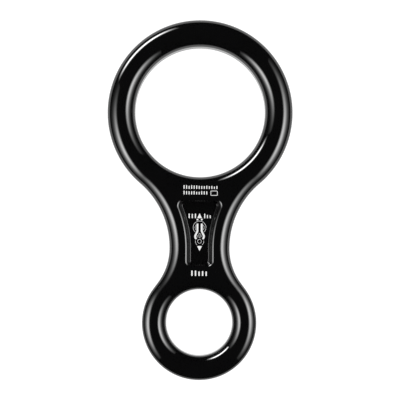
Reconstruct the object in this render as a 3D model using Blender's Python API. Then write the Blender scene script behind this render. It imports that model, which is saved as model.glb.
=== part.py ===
"""Figure-eight rope descender: one forged aluminium body and the light marks on its face.

The body lies flat. +Y points from the small eye to the large eye, +Z is up through the
thickness, and the origin is the middle of its footprint on the surface it rests on.
"""

import math

import bmesh
import bpy
from mathutils import Vector

MM = 0.001

# Overall size
LENGTH = 150.0 * MM
THICKNESS = 13.0 * MM

# The two eyes: the large one takes the rope, the small one the connector
LARGE_EYE_RADIUS = 27.1 * MM
LARGE_RIM_RADIUS = 38.6 * MM
SMALL_EYE_RADIUS = 13.8 * MM
SMALL_RIM_RADIUS = 23.85 * MM
LARGE_CENTRE_Y = LENGTH / 2 - LARGE_RIM_RADIUS
SMALL_CENTRE_Y = SMALL_RIM_RADIUS - LENGTH / 2
# Each eye sits a little further up than the middle of its rim
LARGE_EYE_RISE = 0.35 * MM
SMALL_EYE_RISE = 0.15 * MM
LARGE_EYE_Y = LARGE_CENTRE_Y + LARGE_EYE_RISE
SMALL_EYE_Y = SMALL_CENTRE_Y + SMALL_EYE_RISE

# The waist between them
WAIST_HALF_WIDTH = 12.57 * MM
WAIST_Y = -20.0 * MM
LOWER_NECK_RADIUS = 24.3 * MM

# The rounded section: a cap above and below a nearly upright belt. The eyes are rounded
# further down than the outer edge, and the large eye's metal further than the small eye's
LARGE_RIM_CAP = 3.4 * MM
SMALL_RIM_CAP = 2.5 * MM
LARGE_EYE_CAP = 4.1 * MM
SMALL_EYE_CAP = 3.5 * MM
CAP_FULLNESS = 1.6  # 2 is an ellipse, 1 a parabola
BELT_DRAFT = 0.05 * MM
CROWN_LAND = 0.5 * MM
LARGE_SHOULDER = (LARGE_RIM_RADIUS - LARGE_EYE_RADIUS - CROWN_LAND) / 2
SMALL_SHOULDER = (SMALL_RIM_RADIUS - SMALL_EYE_RADIUS - CROWN_LAND) / 2
SHOULDER_BLEND_Y = (-45.0 * MM, -20.0 * MM)

# The pocket pressed into each face of the neck
POCKET_TOP_Y = 1.1 * MM
POCKET_BOTTOM_Y = -28.6 * MM
POCKET_EDGE_DISTANCE = 6.24 * MM
POCKET_TOP_CORNER = 3.6 * MM
POCKET_BOTTOM_CORNER = 3.0 * MM
POCKET_LEAST_CORNER = 0.7 * MM
POCKET_DEPTH = 2.4 * MM
POCKET_LIP_RADIUS = 2.0 * MM
POCKET_FOOT_RADIUS = 0.35 * MM
POCKET_WALL_ANGLE = math.radians(60)

# How finely the round shapes are divided
ARC_STEP = math.radians(6)
CAP_STEPS = 6
LIP_STEPS = 4
LARGE_EYE_POINTS = 60
SMALL_EYE_POINTS = 48

# The marks
MARK_THICKNESS = 0.06 * MM
MARK_GAP = 0.02 * MM
FACE_Z = THICKNESS
FLOOR_Z = THICKNESS - POCKET_DEPTH
LINE_WIDTH = 0.14 * MM
FRAME_LINE_WIDTH = 0.24 * MM
TAIL_WIDTH = 0.72 * MM
STRAND_WIDTH = 0.78 * MM
ARROW_HALF_WIDTH = 1.0 * MM
TICK_BASE = 0.18 * MM
TICK_SHARE = 0.4  # of the distance from one tick to the next
SHORT_TICK = 0.68  # of a long tick's height

# The descender in the picture, whose eyes are at these heights
DRAWN_LARGE_EYE_Y = -11.45 * MM
DRAWN_SMALL_EYE_Y = -17.2 * MM
DRAWN_LARGE_RIM_RADIUS = 2.65 * MM
DRAWN_LARGE_BORE_RADIUS = 1.85 * MM
DRAWN_SMALL_RIM_RADIUS = 1.75 * MM
DRAWN_SMALL_BORE_RADIUS = 0.82 * MM
DRAWN_SLOT_RADIUS = 0.285 * MM
DRAWN_SLOT_ENDS = (-14.18 * MM, -15.4 * MM)


def cleared_scene():
    """Removes every object, so that only the descender is left in the scene."""
    for obj in list(bpy.data.objects):
        bpy.data.objects.remove(obj)


def principled(name, colour, roughness, metallic):
    """A Principled BSDF material."""
    material = bpy.data.materials.new(name)
    material.use_nodes = True
    shader = material.node_tree.nodes["Principled BSDF"]
    shader.inputs["Base Color"].default_value = (*colour, 1.0)
    shader.inputs["Roughness"].default_value = roughness
    shader.inputs["Metallic"].default_value = metallic
    return material


def shown(bm, name, material):
    """Turns a bmesh into a named object, shaded smooth where its faces meet gently."""
    bmesh.ops.recalc_face_normals(bm, faces=bm.faces)
    mesh = bpy.data.meshes.new(name)
    bm.to_mesh(mesh)
    bm.free()
    mesh.shade_smooth()
    mesh.set_sharp_from_angle(angle=math.radians(35))
    mesh.materials.append(material)
    obj = bpy.data.objects.new(name, mesh)
    bpy.context.scene.collection.objects.link(obj)
    return obj


def polar(centre, radius, angle):
    """The point at that angle on a circle."""
    return centre + radius * Vector((math.cos(angle), math.sin(angle)))


def arc(centre, radius, start, end, side=1):
    """Points along an arc, each with its outward normal. side is -1 where the body is outside the arc."""
    count = max(2, math.ceil(abs(end - start) / ARC_STEP))
    stations = []
    for i in range(count + 1):
        angle = start + (end - start) * i / count
        stations.append((polar(centre, radius, angle), side * polar(Vector((0, 0)), 1, angle)))
    return stations


def circle(centre, radius, count):
    """Points round a hole, each with its normal, which points into the hole."""
    angles = [2 * math.pi * i / count for i in range(count)]
    return [(polar(centre, radius, a), -polar(Vector((0, 0)), 1, a)) for a in angles]


def upper_neck_radius():
    """The neck's upper arc meets the large rim with no straight between them."""
    rise = LARGE_CENTRE_Y - WAIST_Y
    gain = WAIST_HALF_WIDTH**2 + rise**2 - LARGE_RIM_RADIUS**2
    return gain / (2 * (LARGE_RIM_RADIUS - WAIST_HALF_WIDTH))


def outline():
    """The outer edge, clockwise from the top, each point with its outward normal."""
    large, small = Vector((0, LARGE_CENTRE_Y)), Vector((0, SMALL_CENTRE_Y))
    upper_radius = upper_neck_radius()
    upper = Vector((WAIST_HALF_WIDTH + upper_radius, WAIST_Y))
    lower = Vector((WAIST_HALF_WIDTH + LOWER_NECK_RADIUS, WAIST_Y))

    to_upper = upper - large
    large_end = math.atan2(to_upper.y, to_upper.x)
    # A short straight joins the lower arc to the small rim, square to this angle
    to_lower = lower - small
    lean = math.acos((SMALL_RIM_RADIUS + LOWER_NECK_RADIUS) / to_lower.length)
    small_start = math.atan2(to_lower.y, to_lower.x) - lean

    half_turn = math.pi
    right = arc(large, LARGE_RIM_RADIUS, half_turn / 2, large_end)
    right += arc(upper, upper_radius, large_end + half_turn, half_turn, side=-1)[1:]
    right += arc(lower, LOWER_NECK_RADIUS, half_turn, small_start + half_turn, side=-1)[1:]
    right += arc(small, SMALL_RIM_RADIUS, small_start, -half_turn / 2)
    left = [(Vector((-p.x, p.y)), Vector((-n.x, n.y))) for p, n in right[-2:0:-1]]
    return right + left


def rim_shoulder(y):
    """The outer edge's (width, cap height), which ease from the large eye's to the small eye's."""
    low, high = SHOULDER_BLEND_Y
    share = min(1.0, max(0.0, (y - low) / (high - low)))
    share = share * share * (3 - 2 * share)
    width = SMALL_SHOULDER + (LARGE_SHOULDER - SMALL_SHOULDER) * share
    return width, SMALL_RIM_CAP + (LARGE_RIM_CAP - SMALL_RIM_CAP) * share


def section(width, cap):
    """(inset from the edge, height above the middle) from the upper crown round to the lower one."""
    upper = []
    for i in range(CAP_STEPS + 1):
        turn = math.pi / 2 * i / CAP_STEPS
        inset = BELT_DRAFT + (width - BELT_DRAFT) * (1 - math.sin(turn))
        rise = max(0.0, math.cos(turn)) ** (2 / CAP_FULLNESS)
        upper.append((inset, THICKNESS / 2 - cap * (1 - rise)))
    return [*upper, (0.0, 0.0), *[(inset, -height) for inset, height in reversed(upper)]]


def add_loop(bm, points, z):
    """Vertices of one closed loop at that height."""
    return [bm.verts.new((p.x, p.y, z)) for p in points]


def loop_edges(bm, loop):
    """The edges that close a loop of vertices."""
    edges = []
    for a, b in zip(loop, loop[1:] + loop[:1]):
        edges.append(bm.edges.get((a, b)) or bm.edges.new((a, b)))
    return edges


def skin(bm, loops):
    """Quads between each loop and the next."""
    for first, second in zip(loops, loops[1:]):
        for i, vert in enumerate(first):
            j = (i + 1) % len(first)
            bm.faces.new((vert, first[j], second[j], second[i]))


def rounded_edge(bm, stations, shoulder_at):
    """Sweeps the section along an edge. Returns its upper and lower crown loops."""
    ribs = []
    for point, normal in stations:
        rib = [
            (*(point - normal * inset), THICKNESS / 2 + height)
            for inset, height in section(*shoulder_at(point.y))
        ]
        ribs.append([bm.verts.new(place) for place in rib])
    loops = [list(loop) for loop in zip(*ribs)]
    skin(bm, loops)
    return loops[0], loops[-1]


def pocket_outline(inset):
    """The pocket's edge moved inwards, clockwise from the middle of its top edge."""
    upper_radius = upper_neck_radius()
    centre_x = WAIST_HALF_WIDTH + upper_radius
    side_radius = upper_radius + POCKET_EDGE_DISTANCE + inset
    straight_x = centre_x - side_radius
    top, bottom = POCKET_TOP_Y - inset, POCKET_BOTTOM_Y + inset
    top_corner = max(POCKET_LEAST_CORNER, POCKET_TOP_CORNER - inset)
    bottom_corner = max(POCKET_LEAST_CORNER, POCKET_BOTTOM_CORNER - inset)

    reach = side_radius + top_corner
    corner_y = top - top_corner
    corner_x = centre_x - math.sqrt(reach**2 - (corner_y - WAIST_Y) ** 2)
    facing = math.atan2(WAIST_Y - corner_y, centre_x - corner_x)
    quarter = math.pi / 2

    side_centre = Vector((centre_x, WAIST_Y))
    shapes = [
        (Vector((corner_x, corner_y)), top_corner, quarter, facing, 5),
        (side_centre, side_radius, facing + 2 * quarter, 2 * quarter, 6),
        (Vector((straight_x - bottom_corner, bottom + bottom_corner)), bottom_corner, 0.0, -quarter, 4),
    ]
    right = []
    for centre, radius, start, end, count in shapes:
        right += [polar(centre, radius, start + (end - start) * i / count) for i in range(count + 1)]
    return right + [Vector((-p.x, p.y)) for p in reversed(right)]


def pocket_section():
    """(inset, depth) from the face, round the lip, down the sloped wall and round onto the floor."""
    angles = [POCKET_WALL_ANGLE * i / LIP_STEPS for i in range(LIP_STEPS + 1)]
    lip, foot = (
        [(radius * math.sin(a), radius * (1 - math.cos(a))) for a in angles]
        for radius in (POCKET_LIP_RADIUS, POCKET_FOOT_RADIUS)
    )
    wall_drop = POCKET_DEPTH - lip[-1][1] - foot[-1][1]
    run = lip[-1][0] + foot[-1][0] + wall_drop / math.tan(POCKET_WALL_ANGLE)
    return lip + [(run - inset, POCKET_DEPTH - depth) for inset, depth in reversed(foot)]


def pocket(bm, face_z, down):
    """One pocket. Returns the loop where it meets the face."""
    loops = [
        add_loop(bm, pocket_outline(inset), face_z + down * depth)
        for inset, depth in pocket_section()
    ]
    skin(bm, loops)
    bm.faces.new(loops[-1])
    return loops[0]


def descender_body(material):
    """The forging: rounded rims round both eyes, a flat web and a pocket in each face."""
    bm = bmesh.new()
    edges = [
        rounded_edge(bm, outline(), rim_shoulder),
        rounded_edge(
            bm,
            circle(Vector((0, LARGE_EYE_Y)), LARGE_EYE_RADIUS, LARGE_EYE_POINTS),
            lambda _: (LARGE_SHOULDER, LARGE_EYE_CAP),
        ),
        rounded_edge(
            bm,
            circle(Vector((0, SMALL_EYE_Y)), SMALL_EYE_RADIUS, SMALL_EYE_POINTS),
            lambda _: (SMALL_SHOULDER, SMALL_EYE_CAP),
        ),
    ]
    for side, (face_z, down) in enumerate(((THICKNESS, -1), (0.0, 1))):
        rims = [crowns[side] for crowns in edges] + [pocket(bm, face_z, down)]
        rim_edges = [edge for rim in rims for edge in loop_edges(bm, rim)]
        bmesh.ops.triangle_fill(bm, use_beauty=True, edges=rim_edges, normal=(0, 0, -down))
    return shown(bm, "descender_body", material)


def plate(name, outlines, z, material):
    """A mark: a thin plate just above the face. The first outline is its edge, any others are holes."""
    bm = bmesh.new()
    base = z + MARK_GAP
    edges = [edge for points in outlines for edge in loop_edges(bm, add_loop(bm, points, base))]
    bmesh.ops.triangle_fill(bm, use_beauty=True, edges=edges, normal=(0, 0, 1))
    raised = bmesh.ops.extrude_face_region(bm, geom=list(bm.faces))
    tops = [item for item in raised["geom"] if isinstance(item, bmesh.types.BMVert)]
    bmesh.ops.translate(bm, verts=tops, vec=(0, 0, MARK_THICKNESS))
    return shown(bm, name, material)


def ribbon(points, width):
    """The outline of a stroke of that width along a line of points."""
    left, right = [], []
    for i, point in enumerate(points):
        along = (points[min(i + 1, len(points) - 1)] - points[max(i - 1, 0)]).normalized()
        across = Vector((-along.y, along.x)) * width / 2
        left.append(point + across)
        right.append(point - across)
    return left + right[::-1]


def arc_line(centre, radius, start, end, count=10):
    """Points along an arc, with its angles in degrees."""
    start, end = math.radians(start), math.radians(end)
    return [polar(centre, radius, start + (end - start) * i / count) for i in range(count + 1)]


def mirrored(points):
    """The same points on the other side of the middle line."""
    return [Vector((-p.x, p.y)) for p in points]


def tick_row(x, y, width, height, ticks):
    """A code row: upright ticks of two lengths that stand on one thin base line."""
    pitch = width / (ticks - 1 + TICK_SHARE)
    points = [Vector((x, y))]
    for i in range(ticks):
        low, high = x + i * pitch, x + (i + TICK_SHARE) * pitch
        top = y + height * (1.0 if (i * 5) % 3 else SHORT_TICK)
        if i:
            points.append(Vector((low, y + TICK_BASE)))
        points += [Vector((low, top)), Vector((high, top))]
        if i < ticks - 1:
            points.append(Vector((high, y + TICK_BASE)))
    return points + [Vector((x + width, y))]


def code_marks(material):
    """Rows of ticks where a maker puts its codes, and a leaflet frame."""
    rows = {
        "mark_code_row_upper": (-6.7, 4.45, 14.0, 1.55, 14, FACE_Z),
        "mark_code_row_lower": (-6.7, 2.15, 9.8, 1.5, 10, FACE_Z),
        "mark_code_row_batch": (-3.35, -31.6, 6.45, 2.2, 5, FACE_Z),
        "mark_load_ticks_left": (-4.6, -7.6, 3.1, 1.9, 3, FLOOR_Z),
        "mark_load_ticks_right": (1.9, -7.6, 2.7, 1.9, 3, FLOOR_Z),
    }
    for name, (x, y, width, height, ticks, z) in rows.items():
        row = tick_row(x * MM, y * MM, width * MM, height * MM, ticks)
        plate(name, [row], z, material)
    low, high, line = Vector((4.5, 1.7)) * MM, Vector((7.4, 3.7)) * MM, FRAME_LINE_WIDTH
    frame = [
        [Vector((x, y)) for x, y in ((lx, ly), (hx, ly), (hx, hy), (lx, hy))]
        for lx, ly, hx, hy in (
            (low.x, low.y, high.x, high.y),
            (low.x + line, low.y + line, high.x - line, high.y - line),
        )
    ]
    plate("mark_leaflet_frame", frame, FACE_Z, material)


def threading_marks(material):
    """A small picture on the pocket floor of a rope threaded through a descender, with load arrows."""
    large, small = Vector((0, DRAWN_LARGE_EYE_Y)), Vector((0, DRAWN_SMALL_EYE_Y))
    half_line = LINE_WIDTH / 2

    for name, base_y, tip_y in (("up", -7.6, -5.55), ("down", -19.15, -21.25)):
        half_width = ARROW_HALF_WIDTH
        arrow = [Vector((x, y * MM)) for x, y in ((-half_width, base_y), (half_width, base_y), (0, tip_y))]
        plate(f"mark_load_arrow_{name}", [arrow], FLOOR_Z, material)

    strokes = {
        "rope_tail": (TAIL_WIDTH, [(0.85, -7.85), (0.95, -8.48)]),
        "rope_strand": (
            STRAND_WIDTH,
            [(0.9, -9.75), (0.9, -12.9), (1.35, -13.85), (1.8, -14.75), (1.82, -15.4), (1.4, -16.2)],
        ),
        "neck_line": (LINE_WIDTH, [(1.03, -14.5), (0.93, -15.0), (1.03, -15.5)]),
    }
    pieces = {
        name: ribbon([Vector(p) * MM for p in points], width)
        for name, (width, points) in strokes.items()
    }
    pieces["large_bore_line"] = ribbon(arc_line(large, DRAWN_LARGE_BORE_RADIUS, 34, -34, 6), LINE_WIDTH)
    pieces["small_eye_line"] = ribbon(arc_line(small, DRAWN_SMALL_RIM_RADIUS, 12, -55, 8), LINE_WIDTH)
    for name, points in pieces.items():
        plate(f"mark_{name}_right", [points], FLOOR_Z, material)
        plate(f"mark_{name}_left", [mirrored(points)], FLOOR_Z, material)

    outer = ribbon(arc_line(large, DRAWN_LARGE_RIM_RADIUS, 225, -45, 30), LINE_WIDTH)
    plate("mark_large_eye_line", [outer], FLOOR_Z, material)
    bore = [
        arc_line(small, DRAWN_SMALL_BORE_RADIUS + side * half_line, 0, 345, 23)
        for side in (1, -1)
    ]
    plate("mark_small_bore_line", bore, FLOOR_Z, material)
    top, bottom = (Vector((0, y)) for y in DRAWN_SLOT_ENDS)
    slot = [
        arc_line(top, DRAWN_SLOT_RADIUS + side * half_line, 0, 180, 5)
        + arc_line(bottom, DRAWN_SLOT_RADIUS + side * half_line, 180, 360, 5)
        for side in (1, -1)
    ]
    plate("mark_neck_slot", slot, FLOOR_Z, material)


def main():
    cleared_scene()
    anodised = principled("black_anodised_aluminium", (0.012, 0.012, 0.013), 0.12, 0.0)
    marking = principled("light_marking", (0.86, 0.86, 0.85), 0.55, 0.0)
    descender_body(anodised)
    code_marks(marking)
    threading_marks(marking)


main()
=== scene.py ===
"""Figure-eight rope descender: the polished forging, the light marks on its face and a plain studio.

Everything is in metres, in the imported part's own frame: the descender lies flat, +Y runs from the small
eye to the large eye and +Z is up through the thickness.
"""

import logging
import math
from dataclasses import dataclass, field
from enum import Enum

import bmesh
import bpy
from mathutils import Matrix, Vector


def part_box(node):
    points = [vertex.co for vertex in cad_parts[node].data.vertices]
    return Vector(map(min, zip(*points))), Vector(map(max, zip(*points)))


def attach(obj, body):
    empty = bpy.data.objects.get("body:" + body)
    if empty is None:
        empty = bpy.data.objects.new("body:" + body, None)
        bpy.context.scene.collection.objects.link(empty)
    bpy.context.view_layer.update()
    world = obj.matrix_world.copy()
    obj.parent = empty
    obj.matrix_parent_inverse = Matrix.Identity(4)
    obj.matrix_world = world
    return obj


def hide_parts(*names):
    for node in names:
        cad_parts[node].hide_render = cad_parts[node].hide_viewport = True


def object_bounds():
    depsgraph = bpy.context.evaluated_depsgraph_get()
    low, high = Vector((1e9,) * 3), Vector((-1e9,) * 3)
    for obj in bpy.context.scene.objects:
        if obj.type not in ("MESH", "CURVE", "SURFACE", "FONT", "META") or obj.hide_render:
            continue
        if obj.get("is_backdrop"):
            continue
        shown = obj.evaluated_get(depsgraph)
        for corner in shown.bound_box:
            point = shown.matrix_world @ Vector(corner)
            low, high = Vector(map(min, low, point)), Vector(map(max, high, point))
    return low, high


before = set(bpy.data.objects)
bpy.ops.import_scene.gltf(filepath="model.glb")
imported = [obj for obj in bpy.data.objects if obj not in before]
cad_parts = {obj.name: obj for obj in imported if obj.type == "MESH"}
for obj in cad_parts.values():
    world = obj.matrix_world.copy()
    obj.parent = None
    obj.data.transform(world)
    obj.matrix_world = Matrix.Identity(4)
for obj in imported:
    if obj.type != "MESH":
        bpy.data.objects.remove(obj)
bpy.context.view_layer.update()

MM = 0.001
BODY = "root"
WELD = 0.002 * MM
CORNER_POINTS = 6
LID_TOLERANCE_SHARE = 0.2
TICK_CORNER_SHARE = 0.3

log = logging.getLogger("descender")

Number = "Value | float"
Station = tuple[Vector, Vector]

# What the forging's tree hands on to its rim section and its pocket section, with the socket types
RIM_SIZES = {
    "Fullness": "Float",
    "Belt Draft": "Float",
    "Parting Share": "Float",
    "Guard": "Float",
    "Cap Points": "Int",
    "Belt Points": "Int",
}
POCKET_SIZES = {
    "Pocket Depth": "Float",
    "Lip Radius": "Float",
    "Foot Radius": "Float",
    "Wall Angle": "Float",
    "Lip Points": "Int",
}

GRAIN_INPUTS = ("Grain Scale", "Drift Scale")
HAIRLINE_INPUTS = ("Scale", "Sharpness", "Patchiness")
# Each direction's angle in radians, and the share of its length that a stretched cell keeps
HAIRLINE_RUNS = ((0.5, 0.02), (-1.1, 0.03))
# The noise between which a patch of hairlines comes in
HAIRLINE_PATCH = (0.52, 0.66)


class Slot(Enum):
    """The record's material slots."""

    ANODISED = "black_anodised"
    MARKING = "light_marking"


class Edge(Enum):
    """Which edge of the forging a point of the plan lies on."""

    OUTLINE = 0
    LARGE_EYE = 1
    SMALL_EYE = 2
    POCKET = 3


# ---------------------------------------------------------------- node trees


class Value:
    """A number inside a node tree. Arithmetic on it adds Math nodes."""

    def __init__(self, graph: "Graph", socket: bpy.types.NodeSocket) -> None:
        """Wraps an output socket of a graph."""
        self.graph = graph
        self.socket = socket

    def math(self, operation: str, *others: Number, clamp: bool = False) -> "Value":
        """Adds one Math node.

        Args:
            operation: the node's operation, such as ADD.
            others: the second and third inputs, where the operation has them.
            clamp: whether the result is held between 0 and 1.

        Returns:
            The node's result.
        """
        node = self.graph.add("ShaderNodeMath", operation=operation, use_clamp=clamp)
        for index, term in enumerate((self, *others)):
            self.graph.feed(node.inputs[index], term)
        return Value(self.graph, node.outputs[0])

    def __add__(self, other: Number) -> "Value":
        """This number plus another."""
        return self.math("ADD", other)

    def __sub__(self, other: Number) -> "Value":
        """This number less another."""
        return self.math("SUBTRACT", other)

    def __mul__(self, other: Number) -> "Value":
        """This number times another."""
        return self.math("MULTIPLY", other)

    def __truediv__(self, other: Number) -> "Value":
        """This number divided by another."""
        return self.math("DIVIDE", other)

    def smooth_between(self, low: Number, high: Number) -> "Value":
        """0 below low, 1 above high, and a smooth step between them.

        Args:
            low: where the step begins.
            high: where it ends; it may be the smaller of the two.

        Returns:
            The step, from 0 to 1.
        """
        node = self.graph.add("ShaderNodeMapRange", interpolation_type="SMOOTHSTEP")
        for name, term in (("Value", self), ("From Min", low), ("From Max", high)):
            self.graph.feed(node.inputs[name], term)
        return Value(self.graph, node.outputs["Result"])


class Graph:
    """Builds one node tree from left to right."""

    COLUMN = 190

    def __init__(self, tree: bpy.types.NodeTree) -> None:
        """Starts on a tree, which may already hold nodes.

        Args:
            tree: the tree to build in.
        """
        self.tree = tree
        self.start: bpy.types.Node | None = None
        self.end: bpy.types.Node | None = None

    @classmethod
    def group(cls, name: str, kind: str, inputs: dict[str, str], outputs: dict[str, str]) -> "Graph":
        """Makes an empty node group with named sockets.

        Args:
            name: the group's name.
            kind: GeometryNodeTree or ShaderNodeTree.
            inputs: socket types by name, such as Float.
            outputs: the same for the results.

        Returns:
            A graph whose start and end are the group's input and output nodes.
        """
        graph = cls(bpy.data.node_groups.new(name, kind))
        for sockets, way in ((inputs, "INPUT"), (outputs, "OUTPUT")):
            for label, socket in sockets.items():
                graph.tree.interface.new_socket(
                    name=label, in_out=way, socket_type=f"NodeSocket{socket}"
                )
        graph.start = graph.add("NodeGroupInput")
        graph.end = graph.add("NodeGroupOutput")
        return graph

    def add(self, kind: str, **settings: object) -> bpy.types.Node:
        """Adds a node in the next column and sets its properties.

        Args:
            kind: the node's type, by its identifier.
            settings: values for the node's own properties.

        Returns:
            The node.
        """
        node = self.tree.nodes.new(kind)
        node.location = (self.COLUMN * len(self.tree.nodes), 0)
        for name, setting in settings.items():
            setattr(node, name, setting)
        return node

    def feed(self, slot: bpy.types.NodeSocket, term: object) -> None:
        """Links a value or socket to an input, or sets the input's own number.

        Args:
            slot: the input socket.
            term: a Value, an output socket or a plain value.
        """
        if isinstance(term, Value):
            term = term.socket
        if isinstance(term, bpy.types.NodeSocket):
            self.tree.links.new(term, slot)
        else:
            slot.default_value = term

    def make(self, kind: str, feeds: dict[str | int, object], **settings: object) -> bpy.types.Node:
        """Adds a node and feeds its inputs by name or number.

        Args:
            kind: the node's type, by its identifier.
            feeds: what goes into each input.
            settings: values for the node's own properties.

        Returns:
            The node.
        """
        node = self.add(kind, **settings)
        for name, term in feeds.items():
            self.feed(node.inputs[name], term)
        return node

    def use(self, tree: bpy.types.NodeTree, feeds: dict[str | int, object]) -> bpy.types.Node:
        """Places a node group and feeds its inputs."""
        kind = tree.bl_idname.replace("Tree", "Group")
        return self.make(kind, feeds, node_tree=tree)

    def given(self, name: str) -> Value:
        """One of the group's own inputs."""
        return Value(self, self.start.outputs[name])

    def give(self, name: str, term: object) -> None:
        """Feeds one of the group's own outputs."""
        self.feed(self.end.inputs[name], term)

    def join(self, *parts: object) -> bpy.types.NodeSocket:
        """All the geometry parts as one, in the order given.

        Args:
            parts: sockets or Values that carry geometry.

        Returns:
            The joined geometry.
        """
        node = self.add("GeometryNodeJoinGeometry")
        for part in reversed(parts):
            self.feed(node.inputs[0], part)
        return node.outputs[0]

    def parts(self, vector: object) -> list[Value]:
        """A vector's X, Y and Z."""
        node = self.make("ShaderNodeSeparateXYZ", {0: vector})
        return [Value(self, socket) for socket in node.outputs]

    def vector(self, x: Number = 0.0, y: Number = 0.0, z: Number = 0.0) -> bpy.types.NodeSocket:
        """A vector made of three numbers."""
        return self.make("ShaderNodeCombineXYZ", {0: x, 1: y, 2: z}).outputs[0]

    def captured(self, geometry: object, kind: str, term: object) -> tuple[bpy.types.NodeSocket, ...]:
        """Keeps a field's values on a geometry's points, so that later nodes can still read them.

        Args:
            geometry: the geometry to keep them on.
            kind: the field's type, such as VECTOR.
            term: the field.

        Returns:
            The geometry and the kept field.
        """
        node = self.add("GeometryNodeCaptureAttribute", domain="POINT")
        node.capture_items.new(kind, "Kept")
        self.feed(node.inputs[0], geometry)
        self.feed(node.inputs[1], term)
        return node.outputs[0], node.outputs[1]

    def attribute(self, name: str, kind: str) -> bpy.types.NodeSocket:
        """A named attribute of the geometry in hand."""
        return self.make("GeometryNodeInputNamedAttribute", {"Name": name}, data_type=kind).outputs[0]

    def welded(self, geometry: object) -> bpy.types.NodeSocket:
        """The geometry with points that coincide made one."""
        return self.make("GeometryNodeMergeByDistance", {"Geometry": geometry, "Distance": WELD}).outputs[0]

    def moved(
        self, geometry: object, shift: object = (0, 0, 0), scale: object = (1, 1, 1)
    ) -> bpy.types.NodeSocket:
        """The geometry scaled about the origin and then shifted."""
        feeds = {"Geometry": geometry, "Translation": shift, "Scale": scale}
        return self.make("GeometryNodeTransform", feeds).outputs[0]

    def rounded(self, curve: object, radius: object) -> bpy.types.NodeSocket:
        """A curve of straight pieces with its corners rounded."""
        feeds = {"Curve": curve, "Count": CORNER_POINTS, "Radius": radius, "Limit Radius": True}
        return self.make("GeometryNodeFilletCurve", feeds, mode="POLY").outputs[0]

    def line(self, start: object, end: object, points: Number = 2) -> bpy.types.NodeSocket:
        """A straight curve, divided evenly."""
        line = self.make("GeometryNodeCurvePrimitiveLine", {"Start": start, "End": end}).outputs[0]
        return self.make("GeometryNodeResampleCurve", {"Curve": line, "Count": points}).outputs[0]

    def finished(self, geometry: object, smooth: bool) -> None:
        """Ends a tree: shading, instances made real, and the material from the group's input.

        Args:
            geometry: what the tree has made.
            smooth: whether its faces are shaded smooth.
        """
        shaded = self.make("GeometryNodeSetShadeSmooth", {"Geometry": geometry, "Shade Smooth": smooth})
        real = self.make("GeometryNodeRealizeInstances", {"Geometry": shaded.outputs[0]})
        feeds = {"Geometry": real.outputs[0], "Material": self.given("Material")}
        self.give("Geometry", self.make("GeometryNodeSetMaterial", feeds).outputs[0])


def wire(
    name: str, points: list[Vector], loops: list[int], attributes: dict[str, list]
) -> bpy.types.Object:
    """Makes an object that holds only wires, for a Geometry Nodes tree to build on.

    Args:
        name: the object's name.
        points: every wire's points, one wire after another.
        loops: the number of points in each wire; a closed wire's number is negative.
        attributes: values for each point; a Vector list, an int list or a float list.

    Returns:
        The linked object.
    """
    edges: list[tuple[int, int]] = []
    first = 0
    for count in loops:
        last = first + abs(count) - 1
        edges += [(i, i + 1) for i in range(first, last)]
        if count < 0:
            edges.append((last, first))
        first = last + 1
    mesh = bpy.data.meshes.new(name)
    mesh.from_pydata(points, edges, [])
    for label, values in attributes.items():
        kind = {Vector: "FLOAT_VECTOR", int: "INT", float: "FLOAT"}[type(values[0])]
        layer = mesh.attributes.new(label, kind, "POINT")
        for item, value in zip(layer.data, values):
            if kind == "FLOAT_VECTOR":
                item.vector = value
            else:
                item.value = value
    obj = bpy.data.objects.new(name, mesh)
    bpy.context.scene.collection.objects.link(obj)
    return obj


def grown(
    obj: bpy.types.Object, tree: bpy.types.NodeTree, inputs: dict[str, object]
) -> bpy.types.Object:
    """Runs a Geometry Nodes tree on an object and keeps the result as its plain mesh.

    Args:
        obj: the object whose mesh the tree starts from.
        tree: the tree, whose geometry input and output come first.
        inputs: values for its other inputs, by name.

    Returns:
        The same object, with a new mesh and no modifier.
    """
    modifier = obj.modifiers.new("Shape", "NODES")
    modifier.node_group = tree
    for item in tree.interface.items_tree:
        if item.in_out == "INPUT" and item.name in inputs:
            modifier[item.identifier] = inputs[item.name]
    graph = bpy.context.evaluated_depsgraph_get()
    mesh = bpy.data.meshes.new_from_object(obj.evaluated_get(graph), depsgraph=graph)
    obj.modifiers.remove(modifier)
    obj.data = mesh
    mesh.name = obj.name
    return obj


def closed_outwards(obj: bpy.types.Object) -> None:
    """Turns every face outwards and logs edges that don't close.

    Args:
        obj: the object to turn.
    """
    bm = bmesh.new()
    bm.from_mesh(obj.data)
    bmesh.ops.recalc_face_normals(bm, faces=bm.faces)
    open_edges = sum(1 for edge in bm.edges if not edge.is_manifold)
    bm.to_mesh(obj.data)
    bm.free()
    if open_edges:
        log.warning("%s has %d edges that don't close", obj.name, open_edges)


def placed(obj: bpy.types.Object, slot: Slot, *nodes: str) -> bpy.types.Object:
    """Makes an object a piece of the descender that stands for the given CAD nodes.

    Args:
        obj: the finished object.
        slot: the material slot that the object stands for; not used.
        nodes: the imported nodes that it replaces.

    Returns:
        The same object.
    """
    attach(obj, BODY)
    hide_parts(*nodes)
    triangles = sum(len(face.vertices) - 2 for face in obj.data.polygons)
    log.info("%s: %d triangles, for %s", obj.name, triangles, ", ".join(nodes))
    return obj


# ---------------------------------------------------------------- finishes


def grain_group() -> bpy.types.NodeTree:
    """Fine uneven grain, from 0 to 1, and a slower drift of the same kind.

    Returns:
        A shader group that puts out both masks.
    """
    outputs = {"Grain": "Float", "Drift": "Float"}
    inputs = dict.fromkeys(GRAIN_INPUTS, "Float")
    graph = Graph.group("Surface grain", "ShaderNodeTree", inputs, outputs)
    place = graph.add("ShaderNodeTexCoord").outputs["Object"]
    for name, detail in (("Grain", 4.0), ("Drift", 1.5)):
        feeds = {"Vector": place, "Scale": graph.given(f"{name} Scale"), "Detail": detail}
        graph.give(name, graph.make("ShaderNodeTexNoise", feeds).outputs[0])
    return graph.tree


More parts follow.
